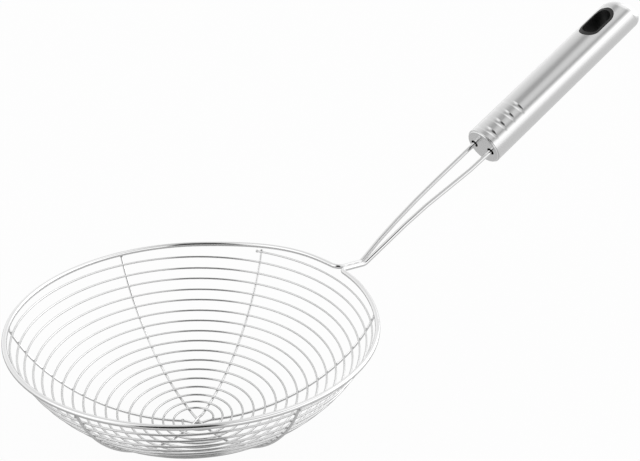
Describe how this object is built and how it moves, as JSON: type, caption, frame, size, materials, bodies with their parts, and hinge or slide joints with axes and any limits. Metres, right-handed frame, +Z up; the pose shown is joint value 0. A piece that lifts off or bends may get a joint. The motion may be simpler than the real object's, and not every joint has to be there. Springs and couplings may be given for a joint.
{
  "type": "spider skimmer",
  "caption": "Wide wire bowl wound in a double spiral, carried on two wire legs by a tubular steel handle with grip grooves and a hanging slot.",
  "frame": {"origin": "the flat under the lowest rib at the middle of the bowl, which is its lowest point", "axes": "+Z up with the rim level, +X from the bowl towards the handle, which rises as it goes"},
  "size_m": [0.3956, 0.18, 0.18],
  "materials": {
    "frame_wire_steel": "bright drawn stainless wire",
    "coil_wire_steel": "bright drawn stainless wire",
    "rib_wire_steel": "bright drawn stainless wire",
    "handle_steel": "satin brushed along the handle",
    "cap_steel": "satin pressed steel",
    "end_cap_steel": "satin spun steel",
    "liner_plastic": "matt black moulded plastic",
    "anchor_steel": "plain stamped steel"
  },
  "bodies": {
    "root": {"rim_and_shank_wire": "frame_wire_steel", "first_coil": "coil_wire_steel", "second_coil": "coil_wire_steel", "cross_rib_wire": "rib_wire_steel", "left_rib_wire": "rib_wire_steel", "right_rib_wire": "rib_wire_steel", "handle_tube": "handle_steel", "handle_front_cap": "cap_steel", "handle_end_cap": "end_cap_steel", "hanging_slot_liner": "liner_plastic", "wire_anchor_disc": "anchor_steel"}
  },
  "joints": []
}
